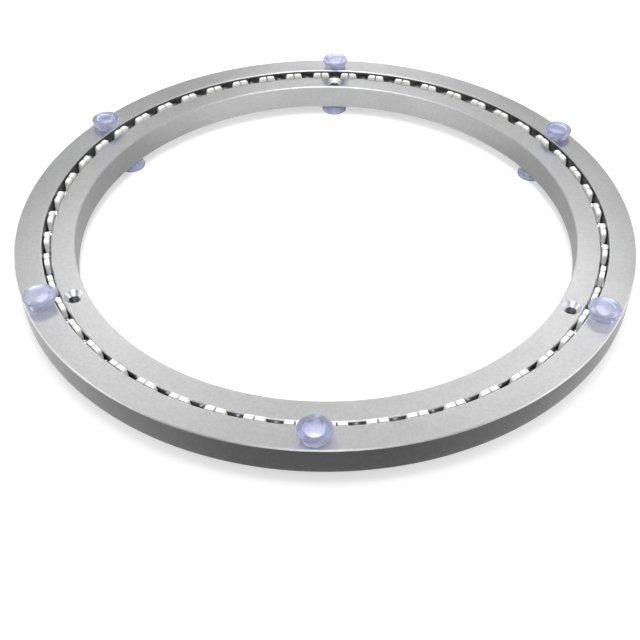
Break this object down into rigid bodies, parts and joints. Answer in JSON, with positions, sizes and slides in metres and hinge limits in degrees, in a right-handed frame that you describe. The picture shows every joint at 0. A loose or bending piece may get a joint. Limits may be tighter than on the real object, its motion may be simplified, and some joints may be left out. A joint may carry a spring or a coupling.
{
  "type": "lazy susan turntable",
  "caption": "Flat ball-bearing turntable: an outer ring on clear bumper pads turns round an inner base ring on clear feet, with a wide open centre.",
  "frame": {"origin": "on the turning axis, in the plane of the feet's free faces", "axes": "+Z is the turning axis and points up; +Y points to one top pad and to the countersunk screw hole behind it"},
  "size_m": [0.3, 0.3, 0.0255],
  "materials": {
    "ring_aluminium": "satin, fine turned grain",
    "cage_nylon": "natural white moulded nylon",
    "ball_steel": "polished bearing steel",
    "pad_clear_pvc": "clear soft plastic with a pale violet tint",
    "stud_steel": "bright zinc plated"
  },
  "bodies": {
    "base": {"inner_ring": "ring_aluminium", "foot_pad_1": "pad_clear_pvc", "foot_pad_2": "pad_clear_pvc", "foot_pad_3": "pad_clear_pvc", "foot_pad_4": "pad_clear_pvc", "foot_pad_5": "pad_clear_pvc", "foot_pad_6": "pad_clear_pvc", "foot_stud_1": "stud_steel", "foot_stud_2": "stud_steel", "foot_stud_3": "stud_steel", "foot_stud_4": "stud_steel", "foot_stud_5": "stud_steel", "foot_stud_6": "stud_steel"},
    "turntable": {"outer_ring": "ring_aluminium", "top_pad_1": "pad_clear_pvc", "top_pad_2": "pad_clear_pvc", "top_pad_3": "pad_clear_pvc", "top_pad_4": "pad_clear_pvc", "top_pad_5": "pad_clear_pvc", "top_pad_6": "pad_clear_pvc", "top_stud_1": "stud_steel", "top_stud_2": "stud_steel", "top_stud_3": "stud_steel", "top_stud_4": "stud_steel", "top_stud_5": "stud_steel", "top_stud_6": "stud_steel"},
    "cage": {"ball_cage": "cage_nylon", "bearing_balls": "ball_steel"}
  },
  "joints": [
    {"name": "turntable_spin", "type": "hinge", "parent": "base", "child": "turntable", "pos_m": [0, 0, 0.01275], "axis": [0, 0, 1], "continuous": true},
    {"name": "cage_spin", "type": "hinge", "parent": "base", "child": "cage", "pos_m": [0, 0, 0.01275], "axis": [0, 0, 1], "continuous": true}
  ],
  "couplings": [
    {"joint": "cage_spin", "follows": "turntable_spin", "ratio": 0.5129}
  ]
}
